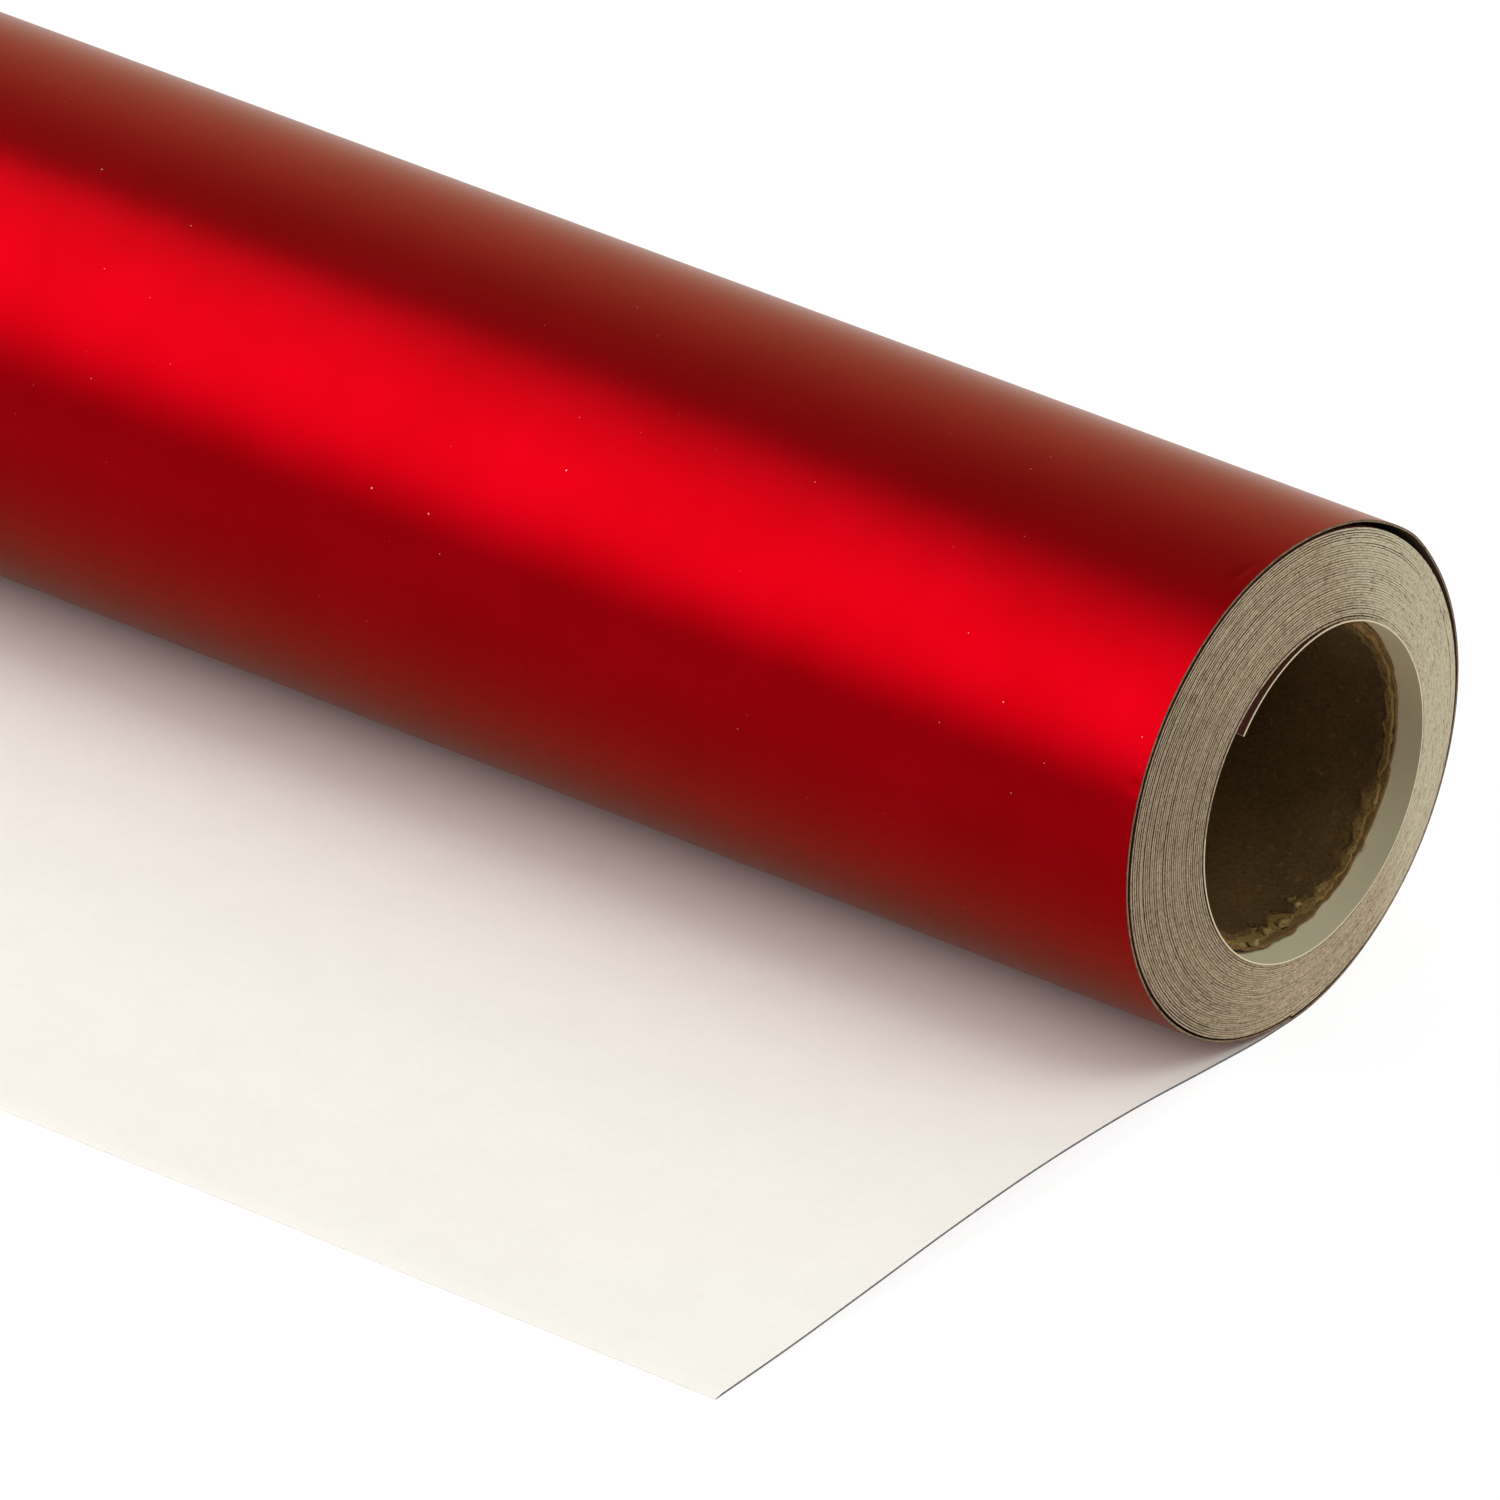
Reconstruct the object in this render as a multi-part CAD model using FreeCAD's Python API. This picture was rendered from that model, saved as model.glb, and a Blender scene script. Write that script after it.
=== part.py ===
import FreeCAD, Part
import math
import os

# Roll of sign vinyl on a cardboard core, lying on its side, with a tail paid out.
# Millimetres. The roll's axis is X, the tail leaves towards -Y and +Z is up.
# The origin is the middle of the core's bore. The roll's bottom, and the tail's
# cut edge, stand on the plane z = -ROLL_R.

# --- driving dimensions ---------------------------------------------------------

WEB_WIDTH = 305.0          # slit width of the web, 12 in
FILM = 0.10                # face film with its adhesive
LINER = 0.14               # silicone-coated paper release liner
ROLL_R = 27.0              # outside of the roll at the bottom, where the tail leaves

CORE_BORE_R = 16.25        # bore of the cardboard core
CORE_PLIES = ("inner", "middle", "outer")
PLY = 0.43                 # one kraft ply of the core's wall

RUNNING_GAP = 0.10         # radial gap between pieces that turn or slide on each other
TELESCOPE = 2.7            # the innermost turn stands this far out of the outermost one's plane

SEAM_SPAN = 40.0           # degrees in which the outer turn steps out at the bottom, to pass under itself
GAP_FROM = -40.0           # the loose part of the outer turn, in degrees round the axis
GAP_TO = 88.0              # from +Y towards +Z
GAP_RISE = 0.85            # how far the loose part lifts off the winding
OUTLINE_STEP = 7.5         # degrees between the points of the outer turn's outline

# The tail's underside, from the roll's bottom to the cut edge: (y, height over the floor).
TAIL_LINE = [(0.0, 0.0), (-5.0, 0.06), (-13.0, 0.65), (-26.0, 1.70), (-40.0, 2.10),
             (-54.0, 1.75), (-68.0, 0.95), (-80.0, 0.32), (-91.5, 0.0)]

# --- sizes that follow ------------------------------------------------------------

WEB = FILM + LINER
HALF = WEB_WIDTH / 2
CORE_R = CORE_BORE_R + PLY * len(CORE_PLIES)
BORE_OF_WINDING = CORE_R + RUNNING_GAP
SEAM_STEP = WEB + 0.05     # the web passes this far outside the outer turn's other end
OUTER_TURN_R = ROLL_R - SEAM_STEP
WINDING_R = OUTER_TURN_R - WEB - RUNNING_GAP

X_AXIS = FreeCAD.Vector(1, 0, 0)


def end_shift(radius):
    """How far a turn of this radius stands out along +X, on a roll that has telescoped."""
    return TELESCOPE * (ROLL_R - radius) / (ROLL_R - BORE_OF_WINDING)


def ring(r_in, r_out, shift_in=0.0, shift_out=0.0):
    """A tube round the X axis. The shifts slide its inner and outer edges along X."""
    corners = [FreeCAD.Vector(-HALF + shift_in, r_in, 0),
               FreeCAD.Vector(HALF + shift_in, r_in, 0),
               FreeCAD.Vector(HALF + shift_out, r_out, 0),
               FreeCAD.Vector(-HALF + shift_out, r_out, 0)]
    face = Part.Face(Part.makePolygon(corners + corners[:1]))
    return face.revolve(FreeCAD.Vector(), X_AXIS, 360)


def turns(r_in, r_out):
    """Turns of the web between two radii, with the cone that telescoping gives them."""
    return ring(r_in, r_out, end_shift(r_in), end_shift(r_out))


def outer_turn_radius(degrees):
    """Outside of the last turn. It starts at the bottom, at -90 degrees, and ends at 270."""
    after_seam = min((degrees + 90) / SEAM_SPAN, 1.0)
    radius = OUTER_TURN_R + SEAM_STEP * math.cos(math.pi * after_seam / 2) ** 2
    if GAP_FROM < degrees < GAP_TO:
        radius += GAP_RISE * math.sin(math.pi * (degrees - GAP_FROM) / (GAP_TO - GAP_FROM)) ** 2
    return radius


def outer_turn_line(depth):
    """The last turn's section line, this deep under its outside."""
    points = []
    for i in range(int(360 / OUTLINE_STEP) + 1):
        degrees = -90 + i * OUTLINE_STEP
        radius = outer_turn_radius(degrees) - depth
        angle = math.radians(degrees)
        points.append(FreeCAD.Vector(-HALF, radius * math.cos(angle), radius * math.sin(angle)))
    curve = Part.BSplineCurve()
    curve.interpolate(points)
    return curve.toShape()


def tail_line(height):
    """The tail's section line, this far above its underside. It leaves the roll level."""
    points = [FreeCAD.Vector(-HALF, y, z - ROLL_R + height) for y, z in TAIL_LINE]
    level = FreeCAD.Vector(0, -1, 0)
    last_slope = FreeCAD.Vector(0, TAIL_LINE[-1][0] - TAIL_LINE[-2][0], TAIL_LINE[-1][1] - TAIL_LINE[-2][1])
    curve = Part.BSplineCurve()
    curve.interpolate(Points=points, InitialTangent=level, FinalTangent=last_slope.normalize())
    return curve.toShape()


def sheet_between(line_a, line_b):
    """The web's width of material between two section lines of the same direction."""
    ends = [Part.LineSegment(line_a.valueAt(at_a), line_b.valueAt(at_b)).toShape()
            for at_a, at_b in ((line_a.FirstParameter, line_b.FirstParameter),
                               (line_a.LastParameter, line_b.LastParameter))]
    outline = Part.Wire(Part.__sortEdges__([line_a, ends[1], line_b, ends[0]]))
    return Part.Face(outline).extrude(X_AXIS * WEB_WIDTH)


def core_plies():
    """The kraft plies of the spiral-wound core, glued face to face."""
    return {f"core_{name}_ply": ring(CORE_BORE_R + i * PLY, CORE_BORE_R + (i + 1) * PLY)
            for i, name in enumerate(CORE_PLIES)}


def winding():
    """The wound web: its first turn as liner and film, then the turns over it."""
    first_film = BORE_OF_WINDING + LINER
    second_turn = first_film + FILM
    return {"first_turn_liner": turns(BORE_OF_WINDING, first_film),
            "first_turn_film": turns(first_film, second_turn),
            "wound_turns": turns(second_turn, WINDING_R)}


def outer_turn():
    """The last turn: film outside, liner inside, standing off the winding where it is loose."""
    return {"outer_turn_film": sheet_between(outer_turn_line(0), outer_turn_line(FILM)),
            "outer_turn_liner": sheet_between(outer_turn_line(FILM), outer_turn_line(WEB))}


def tail():
    """The paid-out tail: film down, liner up."""
    return {"tail_film": sheet_between(tail_line(0), tail_line(FILM)),
            "tail_liner": sheet_between(tail_line(FILM), tail_line(WEB))}


def main():
    os.makedirs("parts", exist_ok=True)
    nodes = {**core_plies(), **winding(), **outer_turn(), **tail()}
    for name, shape in nodes.items():
        solid = shape if shape.ShapeType == "Solid" else shape.Solids[0]
        assert solid.isValid(), name
        solid.exportStep(f"parts/{name}.step")
        box = solid.BoundBox
        print(f"{name:18s} {solid.Volume:10.1f} mm3  x {box.XMin:.2f}..{box.XMax:.2f}"
              f"  y {box.YMin:.2f}..{box.YMax:.2f}  z {box.ZMin:.2f}..{box.ZMax:.2f}")
    print("turns in the winding", (WINDING_R - BORE_OF_WINDING) / WEB)


main()
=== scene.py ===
import math
import random

import bpy
from mathutils import Matrix, Vector, noise


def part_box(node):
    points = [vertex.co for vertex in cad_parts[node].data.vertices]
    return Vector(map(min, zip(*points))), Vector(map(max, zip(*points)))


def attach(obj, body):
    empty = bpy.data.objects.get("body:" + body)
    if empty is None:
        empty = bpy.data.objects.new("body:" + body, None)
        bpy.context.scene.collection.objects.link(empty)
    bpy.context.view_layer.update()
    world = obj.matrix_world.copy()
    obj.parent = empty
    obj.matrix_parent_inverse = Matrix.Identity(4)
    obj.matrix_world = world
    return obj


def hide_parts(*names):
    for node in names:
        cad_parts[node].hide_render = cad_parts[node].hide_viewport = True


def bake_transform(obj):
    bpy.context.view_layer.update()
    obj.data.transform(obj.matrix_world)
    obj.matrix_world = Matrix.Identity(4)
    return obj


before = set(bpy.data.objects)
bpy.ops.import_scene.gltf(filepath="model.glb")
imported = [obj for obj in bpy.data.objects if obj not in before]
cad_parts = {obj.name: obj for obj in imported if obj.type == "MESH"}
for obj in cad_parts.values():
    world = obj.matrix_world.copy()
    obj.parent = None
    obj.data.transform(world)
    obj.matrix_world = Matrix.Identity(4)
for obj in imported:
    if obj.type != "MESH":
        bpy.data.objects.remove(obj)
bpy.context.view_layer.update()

MM = 0.001

# --- the web and the roll, in metres, from the frame -----------------------------

outer_low, outer_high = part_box("outer_turn_film")
tail_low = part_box("tail_film")[0]
core_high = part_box("core_inner_ply")[1]
wound_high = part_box("wound_turns")[1]

HALF = outer_high[0]                  # half of the web's width
CORE_HALF = core_high[0]              # half of the core's length
FLOOR = outer_low[2]                  # the plane that the roll lies on
CUT_EDGE_Y = tail_low[1]

FILM = 0.10 * MM
LINER = 0.14 * MM
WEB = FILM + LINER
TURNS = 36

CORE_BORE_R = 16.25 * MM
PLY = 0.43 * MM
CORE_R = CORE_BORE_R + 3 * PLY
BORE_R = CORE_R + 0.10 * MM           # the winding's bore, with the gap that the core slips in
WINDING_R = wound_high[2] + 0.06 * MM
ROLL_R = -FLOOR
SEAM_STEP = 0.29 * MM
OUTER_R = ROLL_R - SEAM_STEP          # the outer turn, away from the seam at the bottom

TELESCOPE = 2.7 * MM                  # how far the innermost turn stands out of the outermost one's plane
SAG = 0.0105                          # the outermost turns' width is this much more than their height

TWO_PI = 2 * math.pi


def smooth(t):
    """0 to 1 with level ends."""
    t = min(max(t, 0.0), 1.0)
    return t * t * (3 - 2 * t)


def round_the_roll(x, radius, angle):
    """A point at this radius and angle on the roll, which sags: its turns widen towards the outside."""
    out = min(max((radius - BORE_R) / (WINDING_R - BORE_R), 0.0), 1.0)
    return (x, radius * math.cos(angle) * (1 + SAG * out), radius * math.sin(angle))


def link(obj):
    bpy.context.scene.collection.objects.link(obj)
    return obj


def mesh_piece(name, vertices, faces, indices, materials, sharp=True):
    """A mesh object with a material index for each face."""
    mesh = bpy.data.meshes.new(name)
    mesh.from_pydata([tuple(v) for v in vertices], [], faces)
    for material in materials:
        mesh.materials.append(material)
    mesh.polygons.foreach_set("material_index", indices)
    mesh.polygons.foreach_set("use_smooth", [True] * len(faces))
    mesh.update()
    if sharp:
        mesh.set_sharp_from_angle(angle=math.radians(40))
    return link(bpy.data.objects.new(name, mesh))


# --- materials --------------------------------------------------------------------

class Nodes:
    """Short calls for building one material's node tree."""

    def __init__(self, name):
        self.material = bpy.data.materials.new(name)
        self.material.use_nodes = True
        self.tree = self.material.node_tree
        self.shader = self.tree.nodes["Principled BSDF"]
        self.place = self.add("ShaderNodeTexCoord").outputs["Object"]

    def add(self, kind, **settings):
        node = self.tree.nodes.new(kind)
        for key, value in settings.items():
            setattr(node, key, value)
        return node

    def join(self, source, target):
        self.tree.links.new(source, target)

    def stretched(self, x, y, z):
        """The object's coordinates in metres, multiplied along each axis."""
        node = self.add("ShaderNodeMapping")
        node.inputs["Scale"].default_value = (x, y, z)
        self.join(self.place, node.inputs["Vector"])
        return node.outputs["Vector"]

    def noise(self, vector, scale, detail=3.0, roughness=0.55):
        node = self.add("ShaderNodeTexNoise")
        node.inputs["Scale"].default_value = scale
        node.inputs["Detail"].default_value = detail
        node.inputs["Roughness"].default_value = roughness
        self.join(vector, node.inputs["Vector"])
        return node.outputs["Fac"]

    def ramp(self, value, *stops):
        """A colour ramp: stops are (position, colour)."""
        node = self.add("ShaderNodeValToRGB")
        elements = node.color_ramp.elements
        while len(elements) < len(stops):
            elements.new(0.5)
        for element, (position, colour) in zip(elements, stops):
            element.position = position
            element.color = (*colour, 1.0)
        self.join(value, node.inputs["Fac"])
        return node.outputs["Color"]

    def remap(self, value, low, high, to_low, to_high):
        node = self.add("ShaderNodeMapRange")
        ends = {"From Min": low, "From Max": high, "To Min": to_low, "To Max": to_high}
        for name, number in ends.items():
            node.inputs[name].default_value = number
        self.join(value, node.inputs["Value"])
        return node.outputs["Result"]

    def mix(self, factor, colour_a, colour_b):
        node = self.add("ShaderNodeMix", data_type="RGBA")
        self.join(factor, node.inputs["Factor"])
        for socket, colour in ((node.inputs[6], colour_a), (node.inputs[7], colour_b)):
            if isinstance(colour, tuple):
                socket.default_value = (*colour, 1.0)
            else:
                self.join(colour, socket)
        return node.outputs[2]

    def maths(self, operation, a, b):
        node = self.add("ShaderNodeMath", operation=operation)
        for socket, value in zip(node.inputs, (a, b)):
            if isinstance(value, (int, float)):
                socket.default_value = value
            else:
                self.join(value, socket)
        return node.outputs[0]

    def round_the_axis(self, around, outward):
        """Coordinates that follow the turns: slow round the X axis and quick outwards from it."""
        axes = self.add("ShaderNodeSeparateXYZ")
        self.join(self.place, axes.inputs[0])
        squares = [self.maths("MULTIPLY", axes.outputs[axis], axes.outputs[axis]) for axis in ("Y", "Z")]
        radius = self.maths("SQRT", self.maths("ADD", *squares), 0.0)
        point = self.add("ShaderNodeCombineXYZ")
        self.join(self.maths("MULTIPLY", radius, outward), point.inputs["X"])
        for axis in ("Y", "Z"):
            unit = self.maths("DIVIDE", axes.outputs[axis], radius)
            self.join(self.maths("MULTIPLY", unit, around), point.inputs[axis])
        return point.outputs["Vector"]

    def bump(self, height, distance, strength=1.0):
        node = self.add("ShaderNodeBump")
        node.inputs["Distance"].default_value = distance
        node.inputs["Strength"].default_value = strength
        self.join(height, node.inputs["Height"])
        self.join(node.outputs["Normal"], self.shader.inputs["Normal"])


def film_material():
    """Metallised red face film with a satin surface and a few specks of dust."""
    n = Nodes("satin_red_film")
    n.shader.inputs["Metallic"].default_value = 1.0
    n.shader.inputs["Specular Tint"].default_value = (0.86, 0.73, 0.63, 1)
    cloud = n.noise(n.stretched(1, 1, 1), 90, 4)
    red = n.ramp(cloud, (0.3, (0.216, 0.0, 0.002)), (0.7, (0.244, 0.0, 0.003)))
    # Dust: a dot in the middle of a cell, where the slow noise lets it grow.
    cells = n.add("ShaderNodeTexVoronoi")
    cells.inputs["Scale"].default_value = 440
    n.join(n.place, cells.inputs["Vector"])
    reach = n.remap(n.noise(n.stretched(1, 1, 1), 300, 1), 0.42, 0.80, 0.008, 0.052)
    speck = n.remap(n.maths("SUBTRACT", cells.outputs["Distance"], reach), -0.02, 0.01, 0.45, 0)
    n.join(n.mix(speck, red, (0.85, 0.72, 0.66)), n.shader.inputs["Base Color"])
    grain = n.noise(n.stretched(1, 1, 1), 5200, 2)
    n.join(n.remap(grain, 0.3, 0.7, 0.27, 0.31), n.shader.inputs["Roughness"])
    n.bump(grain, 0.004 * MM, 0.35)
    return n.material


def wound_film_in_painted_shade_material():
    """The film's face between the turns, painted a dull dark brown-red instead of the metallised red:
    painted shade, for where only the edges' brown light reaches it.
    """
    n = Nodes("red_film_painted_dark_as_shade_in_the_winding")
    n.shader.inputs["Base Color"].default_value = (0.075, 0.018, 0.014, 1)
    n.shader.inputs["Roughness"].default_value = 0.5
    n.shader.inputs["Specular IOR Level"].default_value = 0.2
    return n.material


def paper_material(name, shade, tone):
    """The release liner's uncoated back: paper with a faint fibre and cloud."""
    n = Nodes(name)
    fibre = n.noise(n.stretched(1, 0.35, 1), 2600, 5, 0.65)
    cloud = n.noise(n.stretched(1, 1, 1), 160, 3)
    base = n.ramp(cloud, (0.3, shade), (0.7, tone))
    thread = n.remap(fibre, 0.35, 0.65, 0.0, 0.10)
    n.join(n.mix(thread, base, tuple(0.75 * c for c in shade)), n.shader.inputs["Base Color"])
    n.shader.inputs["Roughness"].default_value = 0.62
    n.shader.inputs["Specular IOR Level"].default_value = 0.35
    n.bump(fibre, 0.02 * MM, 0.5)
    return n.material


def slit_edge_material(name, pale, mid, dark, dark_share, patchy_and_side_lit=True):
    """A slit edge of the web: fibrous grain with streaks and dashes that follow the turns. A patchy one
    also has mauve patches, and painted light that makes it paler on the +Y side and painted shade that
    makes it a little darker on the -Y side."""
    n = Nodes(name)
    grain = n.noise(n.stretched(1, 1, 1), 2900, 4, 0.75)
    colour = n.ramp(grain, (0.36, mid), (0.60, pale))
    if patchy_and_side_lit:
        patch = n.noise(n.round_the_axis(3, 700), 1, 3, 0.6)
        colour = n.mix(n.remap(patch, 0.45, 0.68, 0.0, 0.42), colour, (0.44, 0.31, 0.27))
    streak = n.noise(n.round_the_axis(11, 5200), 1, 2, 0.6)
    colour = n.mix(n.remap(streak, 0.50, 0.66, 0.0, dark_share), colour, dark)
    if patchy_and_side_lit:
        # Painted light and shade: paler towards the +Y side, darker towards the -Y side.
        axes = n.add("ShaderNodeSeparateXYZ")
        n.join(n.place, axes.inputs[0])
        side = n.maths("ADD", axes.outputs["Y"], n.maths("MULTIPLY", axes.outputs["Z"], 0.2))
        colour = n.mix(n.remap(side, 8 * MM, 15 * MM, 0.0, 0.30), colour, (0.90, 0.86, 0.68))
        colour = n.mix(n.remap(side, -17 * MM, -8 * MM, 0.24, 0.0), colour, (0.15, 0.10, 0.06))
    dash = n.noise(n.round_the_axis(26, 6800), 1, 1, 0.5)
    colour = n.mix(n.remap(dash, 0.60, 0.70, 0.0, 0.7), colour, tuple(0.4 * c for c in dark))
    n.join(colour, n.shader.inputs["Base Color"])
    n.shader.inputs["Roughness"].default_value = 0.85
    n.shader.inputs["Specular IOR Level"].default_value = 0.3
    n.bump(grain, 0.03 * MM, 0.6)
    return n.material


def kraft_material(name, dark, light):
    """Recycled kraft board with long fibres and flecks."""
    n = Nodes(name)
    fibre = n.noise(n.stretched(0.6, 1, 1), 3000, 6, 0.75)
    fleck = n.noise(n.stretched(0.8, 1, 1), 1100, 4, 0.7)
    cloud = n.noise(n.stretched(1, 1, 1), 140, 4)
    board = n.ramp(fibre, (0.32, dark), (0.68, light))
    shaded = n.mix(n.remap(cloud, 0.3, 0.7, 0.0, 0.45), board, tuple(0.55 * c for c in dark))
    bright = tuple(min(1.0, 1.5 * c) for c in light)
    flecked = n.mix(n.remap(fleck, 0.60, 0.72, 0.0, 0.65), shaded, bright)
    n.join(flecked, n.shader.inputs["Base Color"])
    n.shader.inputs["Roughness"].default_value = 0.92
    n.shader.inputs["Specular IOR Level"].default_value = 0.2
    n.bump(fibre, 0.12 * MM, 0.8)
    return n.material


def floor_material():
    n = Nodes("white_floor")
    n.shader.inputs["Base Color"].default_value = (0.15, 0.15, 0.15, 1)
    n.shader.inputs["Roughness"].default_value = 0.9
    n.shader.inputs["Emission Color"].default_value = (1, 1, 1, 1)
    n.shader.inputs["Emission Strength"].default_value = 0.9
    return n.material


FILM_FACE = film_material()
WOUND_FILM_IN_PAINTED_SHADE = wound_film_in_painted_shade_material()
PAPER = paper_material("liner_paper", (0.865, 0.83, 0.805), (0.885, 0.85, 0.825))
# Painted shade: the same liner paper painted dark brown, for its inside round the outer turn, in the gap
# over the winding.
SHADED_PAPER = paper_material("liner_paper_painted_dark_as_shade_in_the_gap", (0.10, 0.065, 0.045), (0.13, 0.085, 0.06))
# Painted light: the same liner paper tinted yellow, for the warm light on the roll's +X end.
WOUND_PAPER_TINTED_AS_WARM_LIGHT = paper_material("liner_paper_in_the_winding_tinted_as_warm_light", (0.81, 0.68, 0.485), (0.85, 0.72, 0.52))

# Slit edges: name, pale, middle and dark colour, and the share of the dark streaks.
# The first two edges carry painted light towards +Y and painted shade towards -Y.
FILM_EDGE = slit_edge_material("film_slit_edge", (0.47, 0.325, 0.225), (0.27, 0.165, 0.11),
                               (0.15, 0.075, 0.045), 0.55)
PAPER_EDGE = slit_edge_material("liner_slit_edge", (0.72, 0.56, 0.41), (0.37, 0.265, 0.18),
                                (0.22, 0.13, 0.08), 0.5)
# Painted shade: darker copies of the slit edges for the outer turn, for the dark line of shade along its
# edge.
OUTER_FILM_EDGE_IN_PAINTED_SHADE = slit_edge_material("film_slit_edge_of_the_outer_turn_in_painted_shade", (0.24, 0.125, 0.07),
                                     (0.11, 0.055, 0.03), (0.06, 0.03, 0.02), 0.5, patchy_and_side_lit=False)
OUTER_PAPER_EDGE_IN_PAINTED_SHADE = slit_edge_material("liner_slit_edge_of_the_outer_turn_in_painted_shade", (0.34, 0.23, 0.15),
                                      (0.17, 0.11, 0.07), (0.10, 0.06, 0.04), 0.5, patchy_and_side_lit=False)
# Painted shadow: the tail's film edge is painted dark grey for the shadow line under the tail's edge,
# which stands a little off the floor.
TAIL_FILM_EDGE_AS_PAINTED_SHADOW = slit_edge_material("film_slit_edge_of_the_tail_as_painted_shadow", (0.10, 0.09, 0.10),
                                    (0.06, 0.055, 0.06), (0.05, 0.05, 0.05), 0.4, patchy_and_side_lit=False)
TAIL_PAPER_EDGE = slit_edge_material("liner_slit_edge_of_the_tail", (0.26, 0.235, 0.245),
                                     (0.16, 0.145, 0.15), (0.10, 0.09, 0.095), 0.4, patchy_and_side_lit=False)


# --- the web's strip of material ----------------------------------------------------

# The order of a strip's materials.
FACE, EDGE, LAST_FACE, LAST_EDGE, LAST_END = range(5)


def strip(name, stations, columns, materials, last_part):
    """A closed layer of the web. stations are, along the strip, pairs (outer row, inner row), each row
    the points across the web, and columns is how many points a row has. materials are those of the
    faces and the slit edges, then of the faces, slit edges and cut end from station last_part on."""
    vertices, faces, indices = [], [], []
    for outer, inner in stations:
        vertices.extend(outer)
        vertices.extend(inner)
    per = 2 * columns

    def at(i, side, j):
        return i * per + side * columns + j

    for i in range(len(stations) - 1):
        for j in range(columns - 1):
            faces.append((at(i, 0, j), at(i, 0, j + 1), at(i + 1, 0, j + 1), at(i + 1, 0, j)))
            faces.append((at(i, 1, j), at(i + 1, 1, j), at(i + 1, 1, j + 1), at(i, 1, j + 1)))
            indices.extend((FACE, FACE) if i < last_part else (LAST_FACE, LAST_FACE))
        for j, flip in ((0, False), (columns - 1, True)):
            quad = (at(i, 0, j), at(i + 1, 0, j), at(i + 1, 1, j), at(i, 1, j))
            faces.append(quad[::-1] if flip else quad)
            indices.append(EDGE if i < last_part else LAST_EDGE)
    for i, flip in ((0, True), (len(stations) - 1, False)):
        for j in range(columns - 1):
            quad = (at(i, 0, j), at(i, 0, j + 1), at(i, 1, j + 1), at(i, 1, j))
            faces.append(quad[::-1] if flip else quad)
            indices.append(EDGE if i == 0 else LAST_END)
    return mesh_piece(name, vertices, faces, indices, materials)


# --- the winding --------------------------------------------------------------------

STEPS_PER_TURN = 120
LAST_STEPS = int(0.9 * STEPS_PER_TURN)    # the steps next to the core, with materials of their own
SEAM_FROM = 240.0          # the stretch at the bottom where each turn drops under the one before
SEAM_TO = 300.0
FIRST_EDGE = 136.0         # where the strip's leading edge lies, in degrees round the axis
LIP_FROM = 76.0            # the lip behind it that has come away from the turn over it
LIP_DROP = 1.10 * MM
PITCH = (WINDING_R - BORE_R) / TURNS
CREVICE = 0.045 * MM       # mean air between one turn's film and the liner over it
FIRST_TURN_PROUD = 0.12 * MM
LOOSE = 0.10 * MM          # the scatter of the turns along the axis, among the outer and inner turns
NEAT = 0.045 * MM          # and among the turns between them
LOOSE_OUTSIDE = 9          # how many turns are loose outside
LOOSE_INSIDE = 6           # and inside
TIGHT = 0.55               # the share of the air that the turns between them have


def turn_drop(degrees):
    """How many turns the strip has gone in by, this far round from the bottom."""
    whole, rest = divmod(degrees, 360.0)
    span = (SEAM_TO - SEAM_FROM) / 2
    into = smooth((rest + span) / (2 * span)) - 0.5 if rest < span else 0.5
    out = smooth((rest - 360 + span) / (2 * span)) if rest > 360 - span else 0.0
    return whole + into + out


def turn_offsets():
    """Where each turn's edge stands along the axis: the telescoped cone and the turns' own scatter."""
    rng = random.Random(7)
    offsets = []
    for k in range(TURNS + 2):
        radius = WINDING_R - k * PITCH
        cone = TELESCOPE * (ROLL_R - radius) / (ROLL_R - BORE_R)
        loose = LOOSE if k < LOOSE_OUTSIDE or k > TURNS - LOOSE_INSIDE else NEAT
        proud = FIRST_TURN_PROUD if k >= TURNS - 1 else 0.0
        offsets.append(cone + rng.uniform(-loose, loose) + proud)
    return offsets


def crevice(progress, angle):
    """The air between a turn's film and the liner over it, which comes and goes round the roll."""
    wave = noise.noise(Vector((math.cos(angle) * 2.2, math.sin(angle) * 2.2, progress * 1.9)))
    slack = progress < LOOSE_OUTSIDE - 1 or progress > TURNS - LOOSE_INSIDE
    tight = 1.0 if slack else TIGHT
    return CREVICE * tight * min(max(0.75 + 2.2 * wave, 0.08), 1.9)


OFFSETS = turn_offsets()


def edge_shift(progress, angle):
    """The strip's sideways place after this many turns, at this angle round the axis."""
    k = min(int(progress), len(OFFSETS) - 2)
    shift = OFFSETS[k] + (OFFSETS[k + 1] - OFFSETS[k]) * smooth((progress - k - 0.5) * 8 + 0.5)
    wave = noise.noise(Vector((math.cos(angle) * 1.7, math.sin(angle) * 1.7, progress * 0.6)))
    return shift + 0.03 * MM * wave


def lip(angle_left, x, near_edge):
    """How far the leading lip bends in at the end of the roll where it is free of the core."""
    along = 1 - angle_left / (FIRST_EDGE - LIP_FROM)
    if along <= 0:
        return 0.0
    free = (x - CORE_HALF) / (near_edge - CORE_HALF)
    return LIP_DROP * along ** 1.3 * smooth(free)


def wound_columns(low, high):
    """Seven places across the web. Where it stands out past the core they close up there."""
    if high > CORE_HALF + 0.2 * MM:
        third = (high - CORE_HALF) / 3
        return [low, 0.0, CORE_HALF - 6 * MM, CORE_HALF, CORE_HALF + third, high - third, high]
    return [low, low / 2, 0.0, high / 4, high / 2, high * 3 / 4, high]


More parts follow.
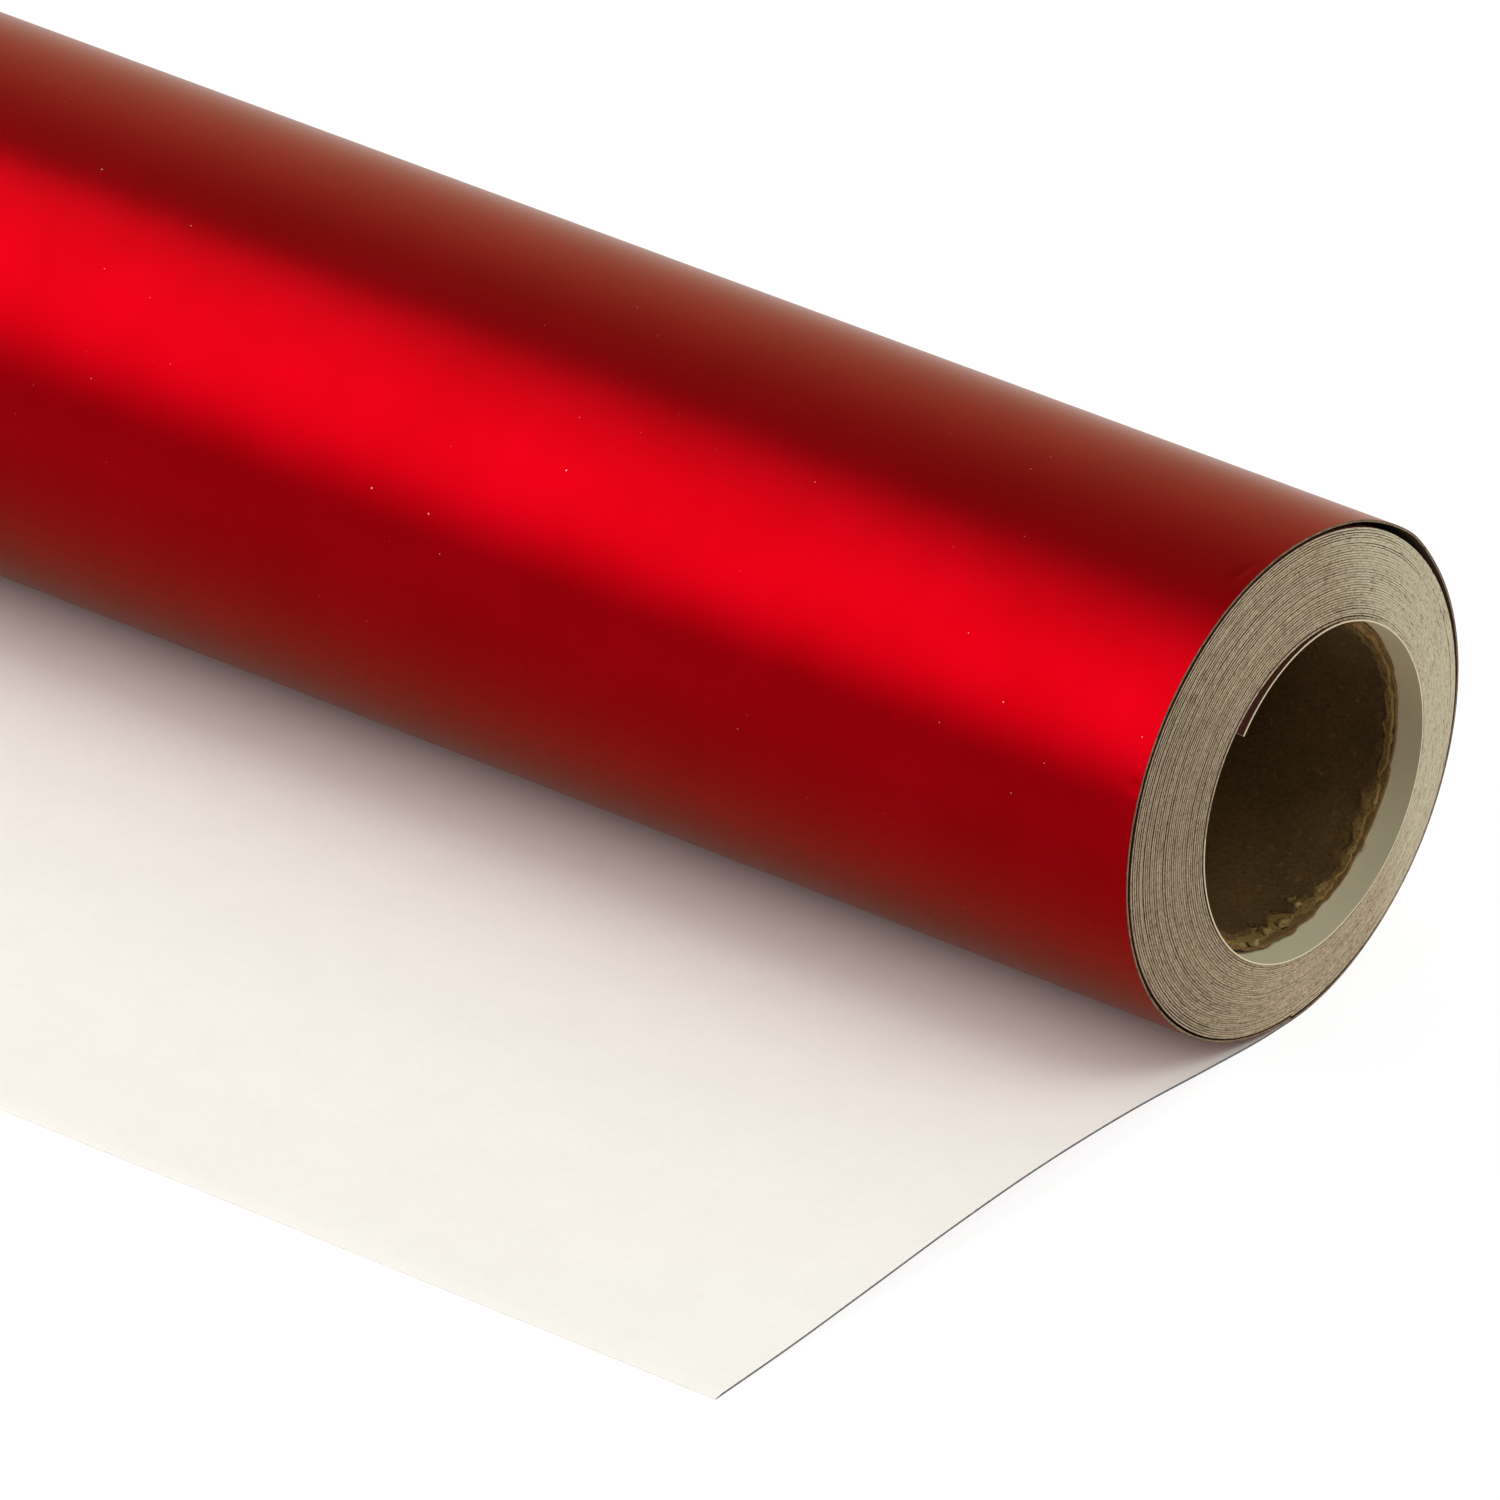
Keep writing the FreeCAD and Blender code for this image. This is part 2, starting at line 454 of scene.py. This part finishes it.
def wound_strip(name, outer_depth, depth_in, inset, materials):
    """One layer of the web from the outside of the winding to its leading edge in the bore."""
    total = 360.0 * (TURNS - 1) + FIRST_EDGE + 90.0
    count = int(total / 360 * STEPS_PER_TURN)
    stations = []
    for i in range(count + 1):
        degrees = total * i / count
        angle = math.radians(degrees - 90)
        drop = turn_drop(degrees)
        radius = WINDING_R - PITCH * max(drop, 0.0)
        shift = edge_shift(max(drop, 0.0), angle)
        xs = wound_columns(-HALF + shift + inset, HALF + shift - inset)
        rows = []
        for depth in (outer_depth(drop, angle), depth_in):
            row = []
            for x in xs:
                r = radius - depth - lip(total - degrees, x, HALF + TELESCOPE)
                row.append(round_the_roll(x, r, angle))
            rows.append(row)
        stations.append(rows)
    return strip(name, stations, len(xs), materials, last_part=count - LAST_STEPS)


def winding():
    film = wound_strip("wound_film", crevice, FILM, 0.03 * MM,
                       (WOUND_FILM_IN_PAINTED_SHADE, FILM_EDGE, WOUND_FILM_IN_PAINTED_SHADE, FILM_EDGE, FILM_EDGE))
    liner = wound_strip("wound_liner", lambda *place: FILM, WEB, 0.0,
                        (WOUND_PAPER_TINTED_AS_WARM_LIGHT, PAPER_EDGE, WOUND_PAPER_TINTED_AS_WARM_LIGHT, WOUND_PAPER_TINTED_AS_WARM_LIGHT, WOUND_PAPER_TINTED_AS_WARM_LIGHT))
    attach(film, "winding")
    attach(liner, "winding")
    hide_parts("first_turn_film", "wound_turns")
    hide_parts("first_turn_liner")


# --- the outer turn and the tail -----------------------------------------------------

GAP_FROM = -40.0
GAP_TO = 88.0
GAP_RISE = 0.30 * MM
UPPER_RISE = 0.28 * MM     # and this much more towards the top
SEAM_SPAN = 40.0           # degrees in which the outer turn steps out to pass under itself
KINK_AT = 45.0             # a soft corner in the loose part, strongest at the +X end
KINK_WIDTH = 13.0
KINK_RISE = 0.20 * MM
KINK_LENGTH = 60 * MM

# Small handling marks in the film, near the +X end, in millimetres and degrees: distance from the end,
# its drift for each degree, place round the axis, half lengths along and round the axis, and depth.
MARKS = [(1.5, 0.08, 104.0, 0.35, 3.2, 0.035),
         (0.5, 0.0, 157.0, 0.8, 0.9, 0.06),
         (8.0, -0.5, 128.0, 0.5, 1.4, 0.02)]

# The tail's underside, from the roll's bottom to the cut edge: (y, height over the floor) in mm.
TAIL_LINE = [(0.0, 0.0), (-5.0, 0.06), (-13.0, 0.65), (-26.0, 1.70), (-40.0, 2.10),
             (-54.0, 1.75), (-68.0, 0.95), (-80.0, 0.32), (-91.5, 0.0)]


def outer_radius(degrees, x=0.0):
    """Outside of the outer turn, from the bottom at -90 degrees round to 270."""
    radius = OUTER_R + (ROLL_R - OUTER_R) * (1 - smooth((degrees + 90) / SEAM_SPAN))
    if GAP_FROM < degrees < GAP_TO:
        along = (degrees - GAP_FROM) / (GAP_TO - GAP_FROM)
        radius += GAP_RISE * math.sin(math.pi * along) ** 2
        radius += UPPER_RISE * math.sin(math.pi * along ** 2.3) ** 2
    corner = max(0.0, 1 - abs(degrees - KINK_AT) / KINK_WIDTH)
    radius += KINK_RISE * corner ** 1.3 * math.exp(-(HALF - x) / KINK_LENGTH)
    for from_end, drift, place, half_long, half_round, depth in MARKS:
        along = (HALF - x) / MM - from_end - drift * (degrees - place)
        off = (along / half_long) ** 2 + ((degrees - place) / half_round) ** 2
        radius -= depth * MM * math.exp(-min(off, 30))
    return radius


def tail_height(y):
    """Height of the tail's underside over the floor, on a smooth line through TAIL_LINE."""
    ys = [p[0] * MM for p in TAIL_LINE][::-1]
    zs = [p[1] * MM for p in TAIL_LINE][::-1]
    slopes = [0.0] * len(ys)
    for i in range(1, len(ys) - 1):
        slopes[i] = (zs[i + 1] - zs[i - 1]) / (ys[i + 1] - ys[i - 1])
    slopes[0] = (zs[1] - zs[0]) / (ys[1] - ys[0])
    k = 0
    while k < len(ys) - 2 and y > ys[k + 1]:
        k += 1
    h = ys[k + 1] - ys[k]
    t = (y - ys[k]) / h
    return ((1 + 2 * t) * (1 - t) ** 2 * zs[k] + t * (1 - t) ** 2 * h * slopes[k]
            + t * t * (3 - 2 * t) * zs[k + 1] + t * t * (t - 1) * h * slopes[k + 1])


TURN_STEPS = 300
TAIL_STEPS = 90
CUT_PRESS = 0.35           # the knife leaves this much of the web's thickness at the cut edge


def free_columns():
    """Places across the web: wide apart in the middle and close at the +X end."""
    wide = 14
    close = [15, 11, 8, 6, 4.5, 3.4, 2.7, 2.2, 1.8, 1.5, 1.2, 0.9, 0.6, 0.3, 0.0]
    start = HALF - 20 * MM
    return [-HALF + (start + HALF) * j / wide for j in range(wide + 1)] + [HALF - c * MM for c in close]


def free_strip(name, depth_out, depth_in, materials):
    """One layer of the web round the outer turn and out along the tail."""
    xs = free_columns()
    stations = []
    for i in range(TURN_STEPS + 1):
        degrees = 270.0 - 360.0 * i / TURN_STEPS
        angle = math.radians(degrees)
        rows = []
        for depth in (depth_out, depth_in):
            rows.append([round_the_roll(x, outer_radius(degrees, x) - depth, angle) for x in xs])
        stations.append(rows)
    for i in range(1, TAIL_STEPS + 1):
        y = CUT_EDGE_Y * i / TAIL_STEPS
        bottom = FLOOR + tail_height(y)
        pressed = CUT_PRESS if i == TAIL_STEPS else 1.0
        rows = [[(x, y, bottom + depth * pressed) for x in xs] for depth in (depth_out, depth_in)]
        stations.append(rows)
    return strip(name, stations, len(xs), materials, last_part=TURN_STEPS)


def free_web():
    film = free_strip("outer_film", 0.0, FILM,
                      (FILM_FACE, OUTER_FILM_EDGE_IN_PAINTED_SHADE, FILM_FACE, TAIL_FILM_EDGE_AS_PAINTED_SHADOW, PAPER))
    liner = free_strip("outer_liner", FILM, WEB,
                       (SHADED_PAPER, OUTER_PAPER_EDGE_IN_PAINTED_SHADE, PAPER, TAIL_PAPER_EDGE, PAPER))
    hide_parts("outer_turn_film", "tail_film")
    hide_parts("outer_turn_liner", "tail_liner")
    for piece in (film, liner):
        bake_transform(piece)


# --- the core -------------------------------------------------------------------------

AROUND_THE_CORE = 360
TORN_REACH = 8 * MM        # how far in the plies' rows are shifted to make room for the tearing
FUZZ_REACH = 2.5 * MM      # how far in the plies' faces are pulled rough
HAIRS = 620

# Where the +X end is torn: degrees round the axis, half width in degrees, and millimetres torn back
# from the inner, middle and outer ply.
BITES = [(-92.0, 24.0, (2.3, 1.1, 0.35)),
         (61.0, 6.0, (1.5, 0.9, 0.3)),
         (-38.0, 16.0, (0.7, 0.35, 0.1)),
         (150.0, 30.0, (0.5, 0.2, 0.0))]


def torn_back(index, degrees, near):
    """How far a ply's end is torn back at this angle."""
    a = math.radians(degrees)
    around = Vector((math.cos(a), math.sin(a), 0))
    rag = noise.fractal(around * 9 + Vector((0, 0, index * 3.1 + (0 if near else 40))), 1.0, 2.0, 6)
    amount = (0.65, 0.38, 0.16)[index] * (1 + 0.9 * rag)
    if near:
        for place, width, deep in BITES:
            off = (degrees - place + 180) % 360 - 180
            amount += deep[index] * math.exp(-(off / width) ** 2) * (1 + 0.5 * rag)
    return max(amount, 0.02) * MM


def fuzz(interface, degrees, from_end):
    """How far the face between two plies is pulled inwards near the end."""
    a = math.radians(degrees)
    p = Vector((math.cos(a) * 7, math.sin(a) * 7, interface * 2.3 + from_end / MM))
    depth = (0.16, 0.10, 0.08, 0.20)[interface]
    return depth * MM * max(0.0, 1 - from_end / FUZZ_REACH) * (1 + 1.2 * noise.fractal(p, 1.0, 2.0, 4))


def ply(index, name, material):
    """One kraft ply of the core, with its ends torn and frayed."""
    around = AROUND_THE_CORE
    rows = [0.0, 0.12, 0.25, 0.45, 0.7, 1.0, 1.5, 2.2, 3.2, 5, 8, 20, 50, 100]
    places = [(r * MM, 1) for r in rows] + [(r * MM, -1) for r in reversed(rows)]
    vertices = []
    for interface in (index + 1, index):
        radius = CORE_BORE_R + interface * PLY
        for from_end, side in places:
            for j in range(around):
                degrees = 360.0 * j / around
                a = math.radians(degrees)
                back = torn_back(index, degrees, side > 0)
                deep = from_end + back * max(0.0, 1 - from_end / TORN_REACH)
                r = radius - max(0.0, fuzz(interface, degrees, from_end))
                vertices.append((side * (CORE_HALF - deep), r * math.cos(a), r * math.sin(a)))
    n = len(places)
    faces = []

    def at(side, k, j):
        return (side * n + k) * around + j % around

    for k in range(n - 1):
        for j in range(around):
            faces.append((at(0, k, j), at(0, k + 1, j), at(0, k + 1, j + 1), at(0, k, j + 1)))
            faces.append((at(1, k, j), at(1, k, j + 1), at(1, k + 1, j + 1), at(1, k + 1, j)))
    for k, flip in ((0, False), (n - 1, True)):
        for j in range(around):
            quad = (at(0, k, j), at(0, k, j + 1), at(1, k, j + 1), at(1, k, j))
            faces.append(quad[::-1] if flip else quad)
    piece = mesh_piece(name, vertices, faces, [0] * len(faces), (material,))
    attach(piece, "core")
    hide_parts(f"core_{name.split('_')[0]}_ply")


# Clumps of torn board on the +X end: degrees, distance in from the end, radius, and size
# along the axis, round it and out from it, all but the first in millimetres.
CLUMPS = [(-97.5, 1.7, 16.55, 0.75, 0.55, 0.42), (-108.0, 0.9, 16.85, 0.55, 0.95, 0.35),
          (-88.0, 1.6, 16.60, 0.60, 0.80, 0.30), (-77.0, 2.6, 16.40, 0.95, 0.75, 0.30),
          (-116.0, 0.7, 16.90, 0.40, 0.70, 0.30), (-66.0, 1.4, 16.70, 0.50, 0.90, 0.28),
          (56.0, 1.6, 16.60, 0.50, 0.60, 0.30), (66.0, 0.9, 16.80, 0.35, 0.55, 0.30),
          (-50.0, 0.9, 16.75, 0.35, 0.80, 0.25), (-31.0, 0.7, 16.85, 0.30, 0.70, 0.25),
          (-8.0, 0.6, 16.85, 0.28, 0.60, 0.22), (24.0, 0.6, 16.85, 0.28, 0.70, 0.22)]


def inside_the_core(x, y, z):
    """The point, moved in to the core's outside if it lies past it."""
    limit = min(1.0, CORE_R / math.hypot(y, z))
    return (x, y * limit, z * limit)


def clump(vertices, faces, seed, place):
    """A ragged lump of board fibre."""
    degrees, from_end, radius, long, wide, high = place
    a = math.radians(degrees)
    out = Vector((0, math.cos(a), math.sin(a)))
    side = Vector((0, -math.sin(a), math.cos(a)))
    centre = Vector((CORE_HALF - from_end * MM, 0, 0)) + out * (radius * MM)
    rings, spokes = 11, 18
    start = len(vertices)
    for i in range(rings + 1):
        polar = math.pi * i / rings
        for j in range(spokes):
            turn = TWO_PI * j / spokes
            ring = math.sin(polar)
            unit = Vector((math.cos(polar), ring * math.cos(turn), ring * math.sin(turn)))
            lump = 1 + 0.55 * noise.fractal(unit * 1.6 + Vector((seed * 7.1, 0, 0)), 1.0, 2.0, 4)
            reach = Vector((unit.x * long, 0, 0)) + side * unit.y * wide + out * unit.z * high
            x, y, z = centre + reach * lump * MM
            vertices.append(inside_the_core(min(x, CORE_HALF), y, z))
    for i in range(rings):
        for j in range(spokes):
            k = (j + 1) % spokes
            faces.append((start + i * spokes + j, start + i * spokes + k,
                          start + (i + 1) * spokes + k, start + (i + 1) * spokes + j))


def fibre(vertices, faces, root, heading, bend, length, thick):
    """A thin tapered hair of kraft that bends as it goes."""
    steps, spokes = 5, 4
    across = heading.orthogonal().normalized()
    other = heading.cross(across)
    start = len(vertices)
    for i in range(steps + 1):
        t = i / steps
        centre = root + (heading * t + bend * t * t) * length
        r = thick * (1 - 0.85 * t)
        for j in range(spokes):
            turn = TWO_PI * j / spokes
            vertices.append(tuple(centre + (across * math.cos(turn) + other * math.sin(turn)) * r))
    for i in range(steps):
        for j in range(spokes):
            k = (j + 1) % spokes
            faces.append((start + i * spokes + j, start + i * spokes + k,
                          start + (i + 1) * spokes + k, start + (i + 1) * spokes + j))
    faces.append(tuple(start + j for j in reversed(range(spokes))))
    faces.append(tuple(start + steps * spokes + j for j in range(spokes)))


def frayed_ends():
    """Clumps and hairs of torn board on both ends of the core."""
    rng = random.Random(11)
    vertices, faces = [], []
    for seed, place in enumerate(CLUMPS):
        clump(vertices, faces, seed, place)
    for i in range(HAIRS):
        near = i % 3 > 0
        degrees = rng.uniform(-180, 180) if rng.random() < 0.6 else rng.gauss(-88, 26)
        index = rng.choice((0, 0, 1, 1, 2))
        a = math.radians(degrees)
        out = Vector((0, math.cos(a), math.sin(a)))
        side = Vector((0, -math.sin(a), math.cos(a)))
        along = Vector((1 if near else -1, 0, 0))
        root = out * (CORE_BORE_R + (index + rng.uniform(0.15, 0.8)) * PLY)
        root += along * (CORE_HALF - torn_back(index, degrees, near) - 0.05 * MM)
        heading = along * rng.uniform(0.0, 0.8) + side * rng.gauss(0, 0.9) - out * rng.uniform(-0.1, 0.7)
        bend = side * rng.gauss(0, 0.5) - out * rng.uniform(0.0, 0.5)
        length = rng.uniform(0.25, 0.9) * MM
        thick = rng.uniform(0.018, 0.045) * MM
        fibre(vertices, faces, root, heading.normalized(), bend, length, thick)
    vertices = [inside_the_core(*vertex) for vertex in vertices]
    torn = kraft_material("kraft_torn", (0.20, 0.115, 0.040), (0.48, 0.31, 0.13))
    piece = mesh_piece("frayed_core_ends", vertices, faces, [0] * len(faces), (torn,), sharp=False)
    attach(piece, "core")


def core():
    ply(0, "inner_kraft", kraft_material("kraft_inside", (0.082, 0.041, 0.013), (0.205, 0.108, 0.036)))
    ply(1, "middle_kraft", kraft_material("kraft_middle", (0.19, 0.10, 0.030), (0.42, 0.25, 0.085)))
    ply(2, "outer_kraft", kraft_material("kraft_outside", (0.16, 0.078, 0.026), (0.32, 0.18, 0.075)))
    frayed_ends()


# --- floor, light and camera ------------------------------------------------------------

AZIMUTH = math.radians(38.33)
ELEVATION = math.radians(29.32)
TILT = math.radians(-0.19)
DISTANCE = 2.0066
AIM = Vector((HALF - 0.0428, -0.0317, 0.0030))
LENS = 491.3

RIGHT = Vector((math.cos(AZIMUTH), math.sin(AZIMUTH), 0))
BACK = Vector((math.sin(AZIMUTH) * math.cos(ELEVATION), -math.cos(AZIMUTH) * math.cos(ELEVATION),
               math.sin(ELEVATION)))


def camera():
    data = bpy.data.cameras.new("camera")
    data.lens = LENS
    data.sensor_width = 36
    data.clip_end = 20
    obj = link(bpy.data.objects.new("camera", data))
    up = BACK.cross(RIGHT)
    right = RIGHT * math.cos(TILT) + up * math.sin(TILT)
    up = BACK.cross(right)
    turn = Matrix((right, up, BACK)).transposed()
    obj.matrix_world = Matrix.Translation(AIM + BACK * DISTANCE) @ turn.to_4x4()
    bpy.context.scene.camera = obj


def soft_box(name, direction, distance, size, strength, tint, tilt=0.0, target=(0.05, 0, 0)):
    """An area light that far away in that direction, facing the target. size is (width, height)."""
    data = bpy.data.lights.new(name, "AREA")
    data.shape = "RECTANGLE"
    data.size, data.size_y = size
    data.energy = strength * math.pi * size[0] * size[1]
    data.color = tint
    obj = link(bpy.data.objects.new(name, data))
    away = Vector(direction).normalized()
    obj.location = Vector(target) + away * distance
    facing = away.to_track_quat("Z", "Y").to_matrix() @ Matrix.Rotation(math.radians(tilt), 3, "Z")
    obj.rotation_euler = facing.to_euler()


# What the room sends from each side, as red, green and blue. Between the sides it blends.
ROOM = {("X", 1): (0.96, 0.99, 0.87),
        ("X", -1): (2.30, 2.22, 1.89),
        ("Y", 1): (0.54, 0.62, 0.54),
        ("Y", -1): (0.04, 0.0, 0.0),
        ("Z", 1): (0.0, 0.14, 0.12),
        ("Z", -1): (0.86, 0.83, 0.70)}

# The key light's boxes, one behind the other, brighten to the middle: direction, distance, width and
# height, and strength.
KEY_TINT = (1.0, 0.89, 0.93)
KEY = {"key_core": ((-0.54, -0.50, 0.595), 1.48, (2.2, 0.5), 0.72),
       "key_box": ((-0.54, -0.50, 0.595), 1.50, (2.2, 0.95), 1.58),
       "key_skirt": ((-0.543, -0.525, 0.555), 1.52, (2.2, 1.42), 1.08)}
TOP_TINT = (0.96, 1.0, 0.99)
TOP_STRENGTH = 2.72


def surroundings():
    """The room round the object: six soft sides, each as strong as the square of the direction's part."""
    world = bpy.data.worlds.new("studio")
    bpy.context.scene.world = world
    world.use_nodes = True
    tree = world.node_tree
    place = tree.nodes.new("ShaderNodeTexCoord")
    axes = tree.nodes.new("ShaderNodeSeparateXYZ")
    tree.links.new(place.outputs["Generated"], axes.inputs["Vector"])

    def worked(operation, source, number):
        node = tree.nodes.new("ShaderNodeMath")
        node.operation = operation
        node.inputs[1].default_value = number
        tree.links.new(source, node.inputs[0])
        return node.outputs[0]

    total = None
    for (axis, sign), colour in ROOM.items():
        toward = worked("MAXIMUM", worked("MULTIPLY", axes.outputs[axis], sign), 0.0)
        square = worked("POWER", toward, 2.0)
        lobe = tree.nodes.new("ShaderNodeVectorMath")
        lobe.operation = "MULTIPLY_ADD"
        lobe.inputs[1].default_value = colour
        lobe.inputs[2].default_value = (0, 0, 0)
        tree.links.new(square, lobe.inputs[0])
        if total is not None:
            tree.links.new(total, lobe.inputs[2])
        total = lobe.outputs[0]
    background = tree.nodes["Background"]
    background.inputs["Strength"].default_value = 1.0
    tree.links.new(total, background.inputs["Color"])


def studio():
    bpy.ops.mesh.primitive_plane_add(size=3.0, location=(0, 0, FLOOR))
    plane = bpy.context.object
    plane.name = "floor"
    plane.data.materials.append(floor_material())
    plane.visible_diffuse = False
    surroundings()
    for name, (direction, distance, size, strength) in KEY.items():
        soft_box(name, direction, distance, size, strength, KEY_TINT, tilt=-16)
    soft_box("top_box", (0.55, 0.05, 0.83), 1.5, (0.8, 0.8), TOP_STRENGTH, TOP_TINT)
    bpy.context.scene.view_settings.view_transform = "Standard"


winding()
free_web()
core()
camera()
studio()
